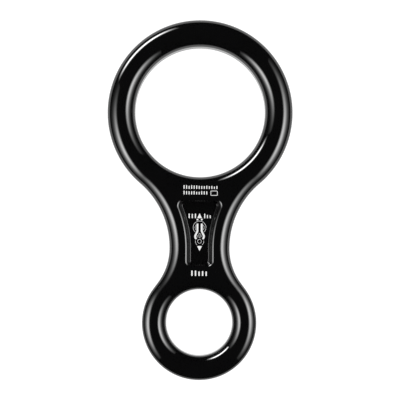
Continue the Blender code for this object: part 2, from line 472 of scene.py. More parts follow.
def hairline_group() -> bpy.types.NodeTree:
    """Sparse fine lines in two directions, as handling leaves them: 1 on a line, 0 off it.

    Returns:
        A shader group that puts out the mask.
    """
    inputs = dict.fromkeys(HAIRLINE_INPUTS, "Float")
    graph = Graph.group("Hairlines", "ShaderNodeTree", inputs, {"Lines": "Float"})
    place = graph.add("ShaderNodeTexCoord").outputs["Object"]
    lines: Value | None = None
    for angle, stretch in HAIRLINE_RUNS:
        feeds = {"Vector": place, "Rotation": (0.0, 0.0, angle), "Scale": (1.0, stretch, 1.0)}
        stretched = graph.make("ShaderNodeMapping", feeds).outputs[0]
        cells = {"Vector": stretched, "Scale": graph.given("Scale")}
        edge = graph.make("ShaderNodeTexVoronoi", cells, feature="DISTANCE_TO_EDGE")
        line = Value(graph, edge.outputs[0]).math("MULTIPLY", graph.given("Sharpness"), clamp=True)
        line = line.math("SUBTRACT", 1.0).math("ABSOLUTE")
        lines = line if lines is None else lines.math("MAXIMUM", line)
    patch = graph.make("ShaderNodeTexNoise", {"Vector": place, "Scale": graph.given("Patchiness")})
    graph.give("Lines", lines * Value(graph, patch.outputs[0]).smooth_between(*HAIRLINE_PATCH))
    return graph.tree


@dataclass(frozen=True)
class AnodisedFinish:
    """Polished aluminium under a sealed oxide layer, dyed black."""

    grain: bpy.types.NodeTree
    hairlines: bpy.types.NodeTree
    mid_height: float
    colour: tuple[float, float, float] = (0.0023, 0.0023, 0.0024)
    dusted_colour: tuple[float, float, float] = (0.0031, 0.0031, 0.0032)
    ior: float = 1.6
    roughness: float = 0.045
    grain_roughness: float = 0.03
    scratch_roughness: float = 0.06
    parting_roughness: float = 0.12
    parting_half_height: float = 0.35 * MM
    wave_height: float = 0.010 * MM
    peel_height: float = 0.0006 * MM
    grain_scales: tuple[float, float] = (1400.0, 90.0)
    hairline_look: tuple[float, float, float] = (900.0, 26.0, 70.0)

    def material(self) -> bpy.types.Material:
        """The finish as a material on Object coordinates.

        Returns:
            The material.
        """
        material = bpy.data.materials.new("black_anodised_polished")
        material.use_nodes = True
        graph = Graph(material.node_tree)
        shader = graph.tree.nodes["Principled BSDF"]
        shader.inputs["IOR"].default_value = self.ior
        shader.inputs["Metallic"].default_value = 0.0

        grain = graph.use(self.grain, dict(zip(GRAIN_INPUTS, self.grain_scales)))
        lines = graph.use(self.hairlines, dict(zip(HAIRLINE_INPUTS, self.hairline_look)))
        fine = Value(graph, grain.outputs["Grain"])
        drift = Value(graph, grain.outputs["Drift"])
        scratched = Value(graph, lines.outputs["Lines"])

        height = graph.parts(graph.add("ShaderNodeTexCoord").outputs["Object"])[2]
        off_middle = (height - self.mid_height).math("ABSOLUTE")
        parting = off_middle.smooth_between(self.parting_half_height, 0.0)

        rough = (fine - 0.5) * self.grain_roughness + self.roughness
        rough = rough + (drift - 0.5) * self.grain_roughness
        rough = rough + scratched * self.scratch_roughness + parting * self.parting_roughness
        graph.feed(shader.inputs["Roughness"], rough)

        tint = graph.add("ShaderNodeMix", data_type="RGBA")
        for slot, term in ((0, drift), (6, (*self.colour, 1.0)), (7, (*self.dusted_colour, 1.0))):
            graph.feed(tint.inputs[slot], term)
        graph.feed(shader.inputs["Base Color"], tint.outputs[2])

        relief = drift * self.wave_height + fine * self.peel_height - scratched * self.peel_height
        bump = graph.make("ShaderNodeBump", {"Height": relief, "Distance": 1.0, "Strength": 1.0})
        graph.feed(shader.inputs["Normal"], bump.outputs[0])
        return material


@dataclass(frozen=True)
class LaserMarkFinish:
    """Oxide bleached by a laser: matt, pale and crossed by the beam's fine passes."""

    grain: bpy.types.NodeTree
    hairlines: bpy.types.NodeTree
    pale: tuple[float, float, float] = (0.86, 0.86, 0.85)
    dull: tuple[float, float, float] = (0.62, 0.62, 0.62)
    roughness: float = 0.5
    roughness_spread: float = 0.2
    pass_spacing: float = 0.055 * MM
    pass_depth: float = 0.002 * MM
    grain_scales: tuple[float, float] = (9000.0, 1100.0)
    hairline_look: tuple[float, float, float] = (900.0, 22.0, 90.0)
    wear: tuple[float, float, float] = (0.5, 0.25, 0.6)

    def material(self) -> bpy.types.Material:
        """The finish as a material on Object coordinates.

        Returns:
            The material.
        """
        material = bpy.data.materials.new("laser_mark_pale")
        material.use_nodes = True
        graph = Graph(material.node_tree)
        shader = graph.tree.nodes["Principled BSDF"]

        grain = graph.use(self.grain, dict(zip(GRAIN_INPUTS, self.grain_scales)))
        lines = graph.use(self.hairlines, dict(zip(HAIRLINE_INPUTS, self.hairline_look)))
        along = graph.parts(graph.add("ShaderNodeTexCoord").outputs["Object"])[1]
        passes = (along * (2 * math.pi / self.pass_spacing)).math("SINE") * 0.5 + 0.5
        fine = Value(graph, grain.outputs["Grain"])
        by_grain, by_passes, by_lines = self.wear
        worn = fine * by_grain + passes * by_passes + Value(graph, lines.outputs["Lines"]) * by_lines

        tint = graph.add("ShaderNodeMix", data_type="RGBA")
        for slot, term in ((0, worn), (6, (*self.pale, 1.0)), (7, (*self.dull, 1.0))):
            graph.feed(tint.inputs[slot], term)
        graph.feed(shader.inputs["Base Color"], tint.outputs[2])
        graph.feed(shader.inputs["Roughness"], (fine - 0.5) * self.roughness_spread + self.roughness)
        bump = {"Height": (passes + fine) * self.pass_depth, "Distance": 1.0, "Strength": 1.0}
        graph.feed(shader.inputs["Normal"], graph.make("ShaderNodeBump", bump).outputs[0])
        return material


# ---------------------------------------------------------------- the forging


def on_circle(centre: Vector, radius: float, angle: float) -> Vector:
    """The point at that angle, in radians, on a level circle."""
    return centre + radius * Vector((math.cos(angle), math.sin(angle), 0.0))


def arc(
    centre: Vector, radius: float, start: float, end: float, step: float, side: int = 1
) -> list[Station]:
    """Points along an arc with their outward normals.

    Args:
        centre: the arc's centre.
        radius: its radius.
        start: its first angle.
        end: its last angle.
        step: about how far apart the points are.
        side: 1 where the metal is inside the arc, -1 where it is outside.

    Returns:
        (point, normal) pairs.
    """
    count = max(2, math.ceil(abs(end - start) * radius / step))
    stations = []
    for i in range(count + 1):
        angle = start + (end - start) * i / count
        stations.append((on_circle(centre, radius, angle), side * on_circle(Vector(), 1.0, angle)))
    return stations


def mirrored(point: Vector) -> Vector:
    """The same place on the other side of the middle line."""
    return Vector((-point.x, point.y, point.z))


def with_left_half(right: list[Station]) -> list[Station]:
    """A closed line from its right half, which runs from one point on the middle line to another."""
    return right + [(mirrored(point), mirrored(normal)) for point, normal in right[-2:0:-1]]


@dataclass
class ForgedBody:
    """The one-piece forging: both eyes, the neck and a pocket in each face."""

    material: bpy.types.Material
    node: str = "descender_body"

    large_eye_radius: float = 27.1 * MM
    large_rim_radius: float = 38.6 * MM
    small_eye_radius: float = 13.8 * MM
    small_rim_radius: float = 23.85 * MM
    large_eye_rise: float = 0.35 * MM
    small_eye_rise: float = 0.15 * MM
    waist_half_width: float = 12.57 * MM
    waist_y: float = -20.0 * MM
    lower_neck_radius: float = 24.3 * MM

    large_rim_cap: float = 3.4 * MM
    small_rim_cap: float = 2.5 * MM
    large_eye_cap: float = 4.1 * MM
    small_eye_cap: float = 3.5 * MM
    cap_fullness: float = 1.6
    belt_draft: float = 0.05 * MM
    parting_share: float = 0.15
    crown_land: float = 0.5 * MM
    shoulder_blend: tuple[float, float] = (-45.0 * MM, -20.0 * MM)

    pocket_top: float = 1.1 * MM
    pocket_bottom: float = -28.6 * MM
    pocket_edge_distance: float = 6.24 * MM
    pocket_top_corner: float = 3.6 * MM
    pocket_bottom_corner: float = 3.0 * MM
    pocket_depth: float = 2.4 * MM
    pocket_lip_radius: float = 2.0 * MM
    pocket_foot_radius: float = 0.35 * MM
    pocket_wall_angle: float = math.radians(60)

    outline_step: float = 0.75 * MM
    pocket_step: float = 0.3 * MM
    cap_points: int = 18
    belt_points: int = 10
    lip_points: int = 8
    guard: float = 0.05 * MM

    length: float = field(init=False)
    thickness: float = field(init=False)

    def __post_init__(self) -> None:
        """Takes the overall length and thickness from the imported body."""
        low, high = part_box(self.node)
        self.length = high.y - low.y
        self.thickness = high.z - low.z

    @property
    def large_centre(self) -> Vector:
        """The centre of the large eye."""
        return Vector((0.0, self.length / 2 - self.large_rim_radius, 0.0))

    @property
    def small_centre(self) -> Vector:
        """The centre of the small eye."""
        return Vector((0.0, self.small_rim_radius - self.length / 2, 0.0))

    @property
    def large_shoulder(self) -> float:
        """The width of the rounded shoulders round the large eye."""
        return (self.large_rim_radius - self.large_eye_radius - self.crown_land) / 2

    @property
    def small_shoulder(self) -> float:
        """The width of the rounded shoulders round the small eye."""
        return (self.small_rim_radius - self.small_eye_radius - self.crown_land) / 2

    @property
    def upper_neck_radius(self) -> float:
        """The radius at which the neck's upper arc runs straight into the large rim.

        Returns:
            The radius in metres.
        """
        rise = self.large_centre.y - self.waist_y
        gain = self.waist_half_width**2 + rise**2 - self.large_rim_radius**2
        return gain / (2 * (self.large_rim_radius - self.waist_half_width))

    def outline(self) -> list[Station]:
        """The outer edge, clockwise from the top.

        Returns:
            (point, normal) pairs.
        """
        half_turn = math.pi
        upper = Vector((self.waist_half_width + self.upper_neck_radius, self.waist_y, 0.0))
        lower = Vector((self.waist_half_width + self.lower_neck_radius, self.waist_y, 0.0))
        to_upper = upper - self.large_centre
        to_lower = lower - self.small_centre
        large_end = math.atan2(to_upper.y, to_upper.x)
        lean = math.acos((self.small_rim_radius + self.lower_neck_radius) / to_lower.length)
        small_start = math.atan2(to_lower.y, to_lower.x) - lean

        step = self.outline_step
        right = arc(self.large_centre, self.large_rim_radius, half_turn / 2, large_end, step)
        neck = (large_end + half_turn, half_turn)
        right += arc(upper, self.upper_neck_radius, *neck, step, side=-1)[1:]
        throat = (half_turn, small_start + half_turn)
        right += arc(lower, self.lower_neck_radius, *throat, step, side=-1)[1:]
        right += self.straight(right[-1][0], small_start)
        right += arc(self.small_centre, self.small_rim_radius, small_start, -half_turn / 2, step)
        return with_left_half(right)

    def straight(self, start: Vector, facing: float) -> list[Station]:
        """The points between the lower neck arc and the small rim, which face one way.

        Args:
            start: where the neck arc ends.
            facing: the angle that they face.

        Returns:
            (point, normal) pairs, without either end.
        """
        end = on_circle(self.small_centre, self.small_rim_radius, facing)
        normal = on_circle(Vector(), 1.0, facing)
        count = math.ceil((end - start).length / self.outline_step)
        return [(start.lerp(end, i / count), normal) for i in range(1, count)]

    def eye(self, y: float, radius: float) -> list[Station]:
        """The edge of an eye, whose normals point into the hole."""
        stations = arc(Vector((0.0, y, 0.0)), radius, 0.0, 2 * math.pi, self.outline_step, side=-1)
        return stations[:-1]

    def pocket(self) -> list[Station]:
        """The pocket's lip, clockwise from the middle of its top edge.

        Returns:
            (point, normal) pairs.
        """
        centre_x = self.waist_half_width + self.upper_neck_radius
        side_radius = self.upper_neck_radius + self.pocket_edge_distance
        top, bottom = self.pocket_top_corner, self.pocket_bottom_corner
        corner_y = self.pocket_top - top
        corner_x = centre_x - math.sqrt((side_radius + top) ** 2 - (corner_y - self.waist_y) ** 2)
        facing = math.atan2(self.waist_y - corner_y, centre_x - corner_x)
        foot = Vector((centre_x - side_radius - bottom, self.pocket_bottom + bottom, 0.0))
        quarter, step = math.pi / 2, self.pocket_step

        top_edge = (Vector((0.0, self.pocket_top, 0.0)), Vector((corner_x, self.pocket_top, 0.0)))
        right = self.run(*top_edge, quarter)
        right += arc(Vector((corner_x, corner_y, 0.0)), top, quarter, facing, step)
        side = (facing + 2 * quarter, 2 * quarter)
        right += arc(Vector((centre_x, self.waist_y, 0.0)), side_radius, *side, step, side=-1)[1:]
        right += self.run(right[-1][0], foot + Vector((bottom, 0.0, 0.0)), 0.0)[1:]
        right += arc(foot, bottom, 0.0, -quarter, step)
        right += self.run(right[-1][0], Vector((0.0, self.pocket_bottom, 0.0)), -quarter)[1:]
        right.append((Vector((0.0, self.pocket_bottom, 0.0)), Vector((0.0, -1.0, 0.0))))
        return with_left_half(right)

    def run(self, start: Vector, end: Vector, facing: float) -> list[Station]:
        """Points along a straight stretch of the pocket's lip, without its last.

        Args:
            start: its first point.
            end: its last point.
            facing: the angle that it faces.

        Returns:
            (point, normal) pairs.
        """
        normal = on_circle(Vector(), 1.0, facing)
        count = max(1, math.ceil((end - start).length / self.pocket_step))
        return [(start.lerp(end, i / count), normal) for i in range(count)]

    def shoulder(self, edge: Edge, y: float) -> tuple[float, float]:
        """How far in an edge's rounding reaches and how far down it goes.

        The pocket's section is drawn at full size, so its reach is 1 and it has no cap.

        Args:
            edge: the edge.
            y: how far along the descender the point is.

        Returns:
            The reach and the cap's height.
        """
        if edge is Edge.POCKET:
            return 1.0, 0.0
        if edge is Edge.LARGE_EYE:
            return self.large_shoulder - self.belt_draft, self.large_eye_cap
        if edge is Edge.SMALL_EYE:
            return self.small_shoulder - self.belt_draft, self.small_eye_cap
        low, high = self.shoulder_blend
        share = min(1.0, max(0.0, (y - low) / (high - low)))
        share = share * share * (3 - 2 * share)
        width = self.small_shoulder + (self.large_shoulder - self.small_shoulder) * share
        cap = self.small_rim_cap + (self.large_rim_cap - self.small_rim_cap) * share
        return width - self.belt_draft, cap

    def plan(self) -> bpy.types.Object:
        """All four edges as wires that know their normals.

        Returns:
            A wire object with the attributes that the forging tree reads.
        """
        edges = {
            Edge.OUTLINE: self.outline(),
            Edge.LARGE_EYE: self.eye(self.large_centre.y + self.large_eye_rise, self.large_eye_radius),
            Edge.SMALL_EYE: self.eye(self.small_centre.y + self.small_eye_rise, self.small_eye_radius),
            Edge.POCKET: self.pocket(),
        }
        stations = [(edge, point, normal) for edge, line in edges.items() for point, normal in line]
        shoulders = [self.shoulder(edge, point.y) for edge, point, _ in stations]
        attributes = {
            "outward": [normal for _, _, normal in stations],
            "edge": [edge.value for edge, _, _ in stations],
            "reach": [width for width, _ in shoulders],
            "cap": [cap for _, cap in shoulders],
        }
        points = [point for _, point, _ in stations]
        return wire("forged_body", points, [-len(line) for line in edges.values()], attributes)

    def build(self) -> bpy.types.Object:
        """Sweeps the plan into the finished forging.

        Returns:
            The body as a piece.
        """
        sizes = {
            "Thickness": self.thickness,
            "Fullness": self.cap_fullness,
            "Belt Draft": self.belt_draft,
            "Parting Share": self.parting_share,
            "Guard": self.guard,
            "Cap Points": self.cap_points,
            "Belt Points": self.belt_points,
            "Pocket Depth": self.pocket_depth,
            "Lip Radius": self.pocket_lip_radius,
            "Foot Radius": self.pocket_foot_radius,
            "Wall Angle": self.pocket_wall_angle,
            "Lip Points": self.lip_points,
            "Material": self.material,
        }
        body = grown(self.plan(), forging_tree(), sizes)
        closed_outwards(body)
        return placed(body, Slot.ANODISED, self.node)


def sweep_group() -> bpy.types.NodeTree:
    """Sweeps a section along edges, square to each point's outward normal.

    A section's X is a share of the edge's reach inwards, its Y is a height and its Z is a further
    distance inwards.

    Returns:
        A group from edges and a section to a surface.
    """
    names = {"Edges": "Geometry", "Section": "Geometry"}
    graph = Graph.group("Sweep section", "GeometryNodeTree", names, {"Surface": "Geometry"})
    position = graph.add("GeometryNodeInputPosition").outputs[0]
    rails = graph.make("GeometryNodeMeshToCurve", {"Mesh": graph.given("Edges")}).outputs[0]
    rails, rail = graph.captured(rails, "VECTOR", position)
    section, drawn = graph.captured(graph.given("Section"), "VECTOR", position)
    feeds = {"Curve": rails, "Profile Curve": section}
    strip = graph.make("GeometryNodeCurveToMesh", feeds).outputs[0]

    share, height, further = graph.parts(drawn)
    inset = share * Value(graph, graph.attribute("reach", "FLOAT")) + further
    edge_x, edge_y, _ = graph.parts(rail)
    out_x, out_y, _ = graph.parts(graph.attribute("outward", "FLOAT_VECTOR"))
    place = graph.vector(edge_x - out_x * inset, edge_y - out_y * inset, height)
    shaped = graph.make("GeometryNodeSetPosition", {"Geometry": strip, "Position": place})
    graph.give("Surface", graph.welded(shaped.outputs[0]))
    return graph.tree


def rim_section_group() -> bpy.types.NodeTree:
    """The rim's section, drawn without heights: the belt is from -1 to 1, a cap is the next unit.

    Returns:
        A group that puts out the section as curves.
    """
    graph = Graph.group("Rim section", "GeometryNodeTree", RIM_SIZES, {"Section": "Geometry"})
    draft = graph.given("Belt Draft")

    quarter = {"Resolution": graph.given("Cap Points"), "Radius": 1.0, "Sweep Angle": math.pi / 2}
    cap = graph.make("GeometryNodeCurveArc", quarter, mode="RADIUS").outputs[0]
    across, rise, _ = graph.parts(graph.add("GeometryNodeInputPosition").outputs[0])
    power = graph.given("Fullness").math("DIVIDE", 2.0).math("POWER", -1.0)
    full = graph.vector(across * -1.0 + 1.0, rise.math("POWER", power) + 1.0, draft)
    cap = graph.make("GeometryNodeSetPosition", {"Geometry": cap, "Position": full}).outputs[0]

    crown = graph.line(graph.vector(1.0, 2.0, draft), graph.vector(1.0, 2.0, draft + graph.given("Guard")))

    upright = graph.line(graph.vector(), graph.vector(0.0, 1.0, 0.0), graph.given("Belt Points"))
    across, climb, _ = graph.parts(graph.add("GeometryNodeInputPosition").outputs[0])
    climb = climb * climb
    hollow = climb.smooth_between(0.0, graph.given("Parting Share")) * draft
    feeds = {"Geometry": upright, "Position": graph.vector(across, climb, hollow)}
    upright = graph.make("GeometryNodeSetPosition", feeds).outputs[0]

    upper = graph.join(cap, crown, upright)
    graph.give("Section", graph.join(upper, graph.moved(upper, scale=(1.0, -1.0, 1.0))))
    return graph.tree


def rim_height_group() -> bpy.types.NodeTree:
    """Gives swept rims their heights: each edge's own cap, above and below its own belt.

    Returns:
        A group from a surface to the same surface at its real heights.
    """
    inputs = {"Surface": "Geometry", "Thickness": "Float"}
    graph = Graph.group("Rim height", "GeometryNodeTree", inputs, {"Surface": "Geometry"})
    middle = graph.given("Thickness") * 0.5
    cap = Value(graph, graph.attribute("cap", "FLOAT"))
    across, along, drawn = graph.parts(graph.add("GeometryNodeInputPosition").outputs[0])
    size = drawn.math("ABSOLUTE")
    belt = size.math("MINIMUM", 1.0) * (middle - cap)
    height = (belt + (size - 1.0).math("MAXIMUM", 0.0) * cap) * drawn.math("SIGN") + middle
    feeds = {"Geometry": graph.given("Surface"), "Position": graph.vector(across, along, height)}
    graph.give("Surface", graph.make("GeometryNodeSetPosition", feeds).outputs[0])
    return graph.tree


def pocket_section_group() -> bpy.types.NodeTree:
    """The pocket's section: a rounded lip, a sloped wall and a rounded foot.

    Returns:
        A group that puts out the section as curves.
    """
    sizes = {"Face Height": "Float", "Guard": "Float", **POCKET_SIZES}
    graph = Graph.group("Pocket section", "GeometryNodeTree", sizes, {"Section": "Geometry"})
    lip_radius, foot_radius = graph.given("Lip Radius"), graph.given("Foot Radius")
    angle, depth, guard = graph.given("Wall Angle"), graph.given("Pocket Depth"), graph.given("Guard")
    drop_share = angle.math("COSINE") * -1.0 + 1.0
    lip_run, foot_run = lip_radius * angle.math("SINE"), foot_radius * angle.math("SINE")
    lip_drop, foot_drop = lip_radius * drop_share, foot_radius * drop_share
    wall_run = (depth - lip_drop - foot_drop) / angle.math("TANGENT")
    run = lip_run + wall_run + foot_run

    feeds = {
        "Resolution": graph.given("Lip Points"),
        "Radius": 1.0,
        "Start Angle": (angle * -1.0) + math.pi / 2,
        "Sweep Angle": angle,
    }
    bend = graph.make("GeometryNodeCurveArc", feeds, mode="RADIUS").outputs[0]
    bend = graph.moved(bend, (0.0, -1.0, 0.0))
    lip = graph.moved(bend, scale=graph.vector(lip_radius, lip_radius, 1.0))
    small = graph.vector(foot_radius * -1.0, foot_radius * -1.0, 1.0)
    foot = graph.moved(bend, graph.vector(run, depth * -1.0, 0.0), small)
    wall_top = graph.vector(lip_run, lip_drop * -1.0)
    wall_foot = graph.vector(run - foot_run, foot_drop - depth)
    wall = graph.line(wall_top, wall_foot, graph.given("Lip Points"))
    edge = graph.line(graph.vector(guard * -1.0), graph.vector())
    floor = graph.line(graph.vector(run, depth * -1.0), graph.vector(run + guard, depth * -1.0))
    section = graph.join(edge, lip, wall, foot, floor)
    graph.give("Section", graph.moved(section, graph.vector(0.0, graph.given("Face Height"))))
    return graph.tree


def lid_group() -> bpy.types.NodeTree:
    """Fills the open loops of a surface that lie at one height.

    Returns:
        A group from a surface to the flat lid alone.
    """
    inputs = {"Surface": "Geometry", "Height": "Float", "Tolerance": "Float"}
    graph = Graph.group("Flat lid", "GeometryNodeTree", inputs, {"Lid": "Geometry"})
    sides = graph.add("GeometryNodeInputMeshEdgeNeighbors").outputs[0]
    level = graph.parts(graph.add("GeometryNodeInputPosition").outputs[0])[2]
    off = (level - graph.given("Height")).math("ABSOLUTE")
    at_height = off.math("LESS_THAN", graph.given("Tolerance"))
    open_there = at_height * Value(graph, sides).math("LESS_THAN", 1.5)
    feeds = {"Mesh": graph.given("Surface"), "Selection": open_there}
    loops = graph.make("GeometryNodeMeshToCurve", feeds).outputs[0]
    lid = graph.make("GeometryNodeFillCurve", {"Curve": loops}, mode="TRIANGLES").outputs[0]
    graph.give("Lid", graph.moved(lid, graph.vector(0.0, 0.0, graph.given("Height"))))
    return graph.tree


def forging_tree() -> bpy.types.NodeTree:
    """Turns the plan's four edges into one closed body.

    Returns:
        The body's Geometry Nodes tree.
    """
    sizes = {"Thickness": "Float", **RIM_SIZES, **POCKET_SIZES}
    inputs = {"Geometry": "Geometry", **sizes, "Material": "Material"}
    graph = Graph.group("Forged body", "GeometryNodeTree", inputs, {"Geometry": "Geometry"})
    sweep, lid = sweep_group(), lid_group()
    thickness, depth = graph.given("Thickness"), graph.given("Pocket Depth")

    edge = Value(graph, graph.attribute("edge", "INT"))
    on_pocket = edge.math("GREATER_THAN", Edge.POCKET.value - 0.5)
    feeds = {"Geometry": graph.given("Geometry"), "Selection": on_pocket}
    split = graph.make("GeometryNodeSeparateGeometry", feeds, domain="POINT")

    rim_section = graph.use(rim_section_group(), {name: graph.given(name) for name in RIM_SIZES})
    rims = graph.use(sweep, {"Edges": split.outputs[1], "Section": rim_section.outputs[0]}).outputs[0]
    rims = graph.use(rim_height_group(), {"Surface": rims, "Thickness": thickness}).outputs[0]

    pocket_sizes = {name: graph.given(name) for name in ("Guard", *POCKET_SIZES)}
    pocket_sizes["Face Height"] = thickness
    pocket_section = graph.use(pocket_section_group(), pocket_sizes).outputs[0]
    pocket = graph.use(sweep, {"Edges": split.outputs[0], "Section": pocket_section}).outputs[0]

    tolerance = depth * LID_TOLERANCE_SHARE
    face = {"Surface": graph.join(rims, pocket), "Height": thickness, "Tolerance": tolerance}
    web = graph.use(lid, face).outputs[0]
    foot = {"Surface": pocket, "Height": thickness - depth, "Tolerance": tolerance}
    floor = graph.use(lid, foot).outputs[0]

    upper = graph.join(pocket, web, floor)
    lower = graph.moved(upper, graph.vector(0.0, 0.0, thickness), (1.0, 1.0, -1.0))
    graph.finished(graph.welded(graph.join(rims, upper, lower)), smooth=True)
    return graph.tree


# ---------------------------------------------------------------- the marks


def slab_group() -> bpy.types.NodeTree:
    """A closed flat curve filled and given a thickness, with rounded corners.

    Returns:
        A group from a curve to a closed slab.
    """
    inputs = {"Curve": "Geometry", "Corner": "Float", "Thickness": "Float"}
    graph = Graph.group("Slab", "GeometryNodeTree", inputs, {"Mesh": "Geometry"})
    rounded = graph.rounded(graph.given("Curve"), graph.given("Corner"))
    face = graph.make("GeometryNodeFillCurve", {"Curve": rounded}, mode="NGONS").outputs[0]
    feeds = {"Mesh": face, "Offset Scale": graph.given("Thickness"), "Individual": False}
    raised = graph.make("GeometryNodeExtrudeMesh", feeds).outputs[0]
    under = graph.make("GeometryNodeFlipFaces", {"Mesh": face}).outputs[0]
    graph.give("Mesh", graph.welded(graph.join(raised, under)))
    return graph.tree


def line_tree() -> bpy.types.NodeTree:
    """A thin flat line of even width along wires.

    Returns:
        The line's Geometry Nodes tree.
    """
    sizes = {"Width": "Float", "Thickness": "Float", "Corner": "Float"}
    inputs = {"Geometry": "Geometry", **sizes, "Material": "Material"}
    graph = Graph.group("Marked line", "GeometryNodeTree", inputs, {"Geometry": "Geometry"})
    path = graph.make("GeometryNodeMeshToCurve", {"Mesh": graph.given("Geometry")}).outputs[0]
    path = graph.rounded(path, graph.given("Corner"))
    level = graph.make("GeometryNodeSetCurveNormal", {"Curve": path}, mode="Z_UP").outputs[0]
    thickness = graph.given("Thickness")
    sides = {"Width": graph.given("Width"), "Height": thickness}
    section = graph.make("GeometryNodeCurvePrimitiveQuadrilateral", sides).outputs[0]
    feeds = {"Curve": level, "Profile Curve": section, "Fill Caps": True}
    swept = graph.make("GeometryNodeCurveToMesh", feeds).outputs[0]
    lifted = graph.moved(swept, graph.vector(0.0, 0.0, thickness * 0.5))
    graph.finished(graph.welded(lifted), smooth=False)
    return graph.tree


def shape_tree(slab: bpy.types.NodeTree) -> bpy.types.NodeTree:
    """A flat filled shape inside a closed wire.

    Args:
        slab: the group that fills and thickens a curve.

    Returns:
        The shape's Geometry Nodes tree.
    """
    sizes = {"Thickness": "Float", "Corner": "Float"}
    inputs = {"Geometry": "Geometry", **sizes, "Material": "Material"}
    graph = Graph.group("Marked shape", "GeometryNodeTree", inputs, {"Geometry": "Geometry"})
    edge = graph.make("GeometryNodeMeshToCurve", {"Mesh": graph.given("Geometry")}).outputs[0]
    level = graph.parts(graph.add("GeometryNodeInputPosition").outputs[0])[2]
    lowest = graph.add("GeometryNodeAttributeStatistic")
    graph.feed(lowest.inputs["Geometry"], graph.given("Geometry"))
    graph.feed(lowest.inputs["Attribute"], level)
    feeds = {"Curve": edge, "Corner": graph.given("Corner"), "Thickness": graph.given("Thickness")}
    slabbed = graph.use(slab, feeds).outputs[0]
    lifted = graph.moved(slabbed, graph.vector(0.0, 0.0, lowest.outputs["Min"]))
    graph.finished(lifted, smooth=False)
    return graph.tree


def row_tree(slab: bpy.types.NodeTree) -> bpy.types.NodeTree:
    """Ticks of seeded uneven height, side by side from a single starting point.

    Args:
        slab: the group that fills and thickens a curve.

    Returns:
        The row's Geometry Nodes tree.
    """
    inputs = {
        "Geometry": "Geometry",
        "Row Width": "Float",
        "Row Height": "Float",
        "Thickness": "Float",
        "Ticks": "Int",
        "Tick Share": "Float",
        "Shortest": "Float",
        "Seed": "Int",
        "Material": "Material",
    }
    graph = Graph.group("Code row", "GeometryNodeTree", inputs, {"Geometry": "Geometry"})
    share, height = graph.given("Tick Share"), graph.given("Row Height")
    pitch = graph.given("Row Width") / (graph.given("Ticks") - 1.0 + share)
    width = pitch * share

    sides = {"Width": width, "Height": height}
    tick = graph.make("GeometryNodeCurvePrimitiveQuadrilateral", sides).outputs[0]
    tick = graph.moved(tick, graph.vector(0.0, height * 0.5, 0.0))
    feeds = {"Curve": tick, "Corner": width * TICK_CORNER_SHARE, "Thickness": graph.given("Thickness")}
    tick = graph.use(slab, feeds).outputs[0]

    feeds = {"Count": graph.given("Ticks"), "Offset": graph.vector(pitch, 0.0, 0.0)}
    line = graph.make("GeometryNodeMeshLine", feeds, mode="OFFSET").outputs[0]
    feeds = {2: graph.given("Shortest"), 3: 1.0, "Seed": graph.given("Seed")}
    uneven = graph.make("FunctionNodeRandomValue", feeds, data_type="FLOAT").outputs[1]
    # The first tick is full height, so that the row always fills its node
    index = Value(graph, graph.add("GeometryNodeInputIndex").outputs[0])
    tall = Value(graph, uneven).math("MAXIMUM", index.math("LESS_THAN", 0.5))
    feeds = {"Points": line, "Instance": tick, "Scale": graph.vector(1.0, tall, 1.0)}
    row = graph.make("GeometryNodeInstanceOnPoints", feeds).outputs[0]

    start = graph.add("GeometryNodeAttributeStatistic", data_type="FLOAT_VECTOR")
    graph.feed(start.inputs["Geometry"], graph.given("Geometry"))
    graph.feed(start.inputs["Attribute"], graph.add("GeometryNodeInputPosition").outputs[0])
    x, y, z = graph.parts(start.outputs["Min"])
    graph.finished(graph.moved(row, graph.vector(x + width * 0.5, y, z)), smooth=False)
    return graph.tree


class MarkTrees:
    """The Geometry Nodes trees that the marks share."""

    def __init__(self) -> None:
        """Builds a tree for lines, one for filled shapes and one for rows of ticks."""
        slab = slab_group()
        self.line = line_tree()
        self.shape = shape_tree(slab)
        self.row = row_tree(slab)


@dataclass(frozen=True)
class Mark:
    """One drawn mark: a line of some width, or a filled shape where the width is 0."""

    node: str
    points: list[Vector]
    width: float = 0.0
    closed: bool = False
    corner: float = 0.0

    def build(self, trees: MarkTrees, material: bpy.types.Material) -> bpy.types.Object:
        """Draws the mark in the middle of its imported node.

        Args:
            trees: the marks' shared trees.
            material: the marks' finish.

        Returns:
            The mark as a piece.
        """
        low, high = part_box(self.node)
        xs, ys = ([point[axis] for point in self.points] for axis in (0, 1))
        drawn = Vector(((min(xs) + max(xs)) / 2, (min(ys) + max(ys)) / 2, 0.0))
        middle = (low + high) / 2 - drawn
        middle.z = low.z
        points = [point + middle for point in self.points]
        closed = self.closed or not self.width
        base = wire(f"{self.node}_drawn", points, [-len(points) if closed else len(points)], {})
        inputs = {
            "Width": self.width,
            "Thickness": high.z - low.z,
            "Corner": self.corner,
            "Material": material,
        }
        grown(base, trees.line if self.width else trees.shape, inputs)
        closed_outwards(base)
        return placed(base, Slot.MARKING, self.node)


@dataclass(frozen=True)
class CodeRow:
    """A row of plain ticks of uneven height where a maker would put a code."""

    node: str
    ticks: int
    seed: int
    tick_share: float = 0.38
    shortest: float = 0.62

    def build(self, trees: MarkTrees, material: bpy.types.Material) -> bpy.types.Object:
        """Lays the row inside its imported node.

        Args:
            trees: the marks' shared trees.
            material: the marks' finish.

        Returns:
            The row as a piece.
        """
        low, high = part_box(self.node)
        base = wire(f"{self.node}_ticks", [low.copy()], [1], {})
        inputs = {
            "Row Width": high.x - low.x,
            "Row Height": high.y - low.y,
            "Thickness": high.z - low.z,
            "Ticks": self.ticks,
            "Tick Share": self.tick_share,
            "Shortest": self.shortest,
            "Seed": self.seed,
            "Material": material,
        }
        grown(base, trees.row, inputs)
        closed_outwards(base)
        return placed(base, Slot.MARKING, self.node)


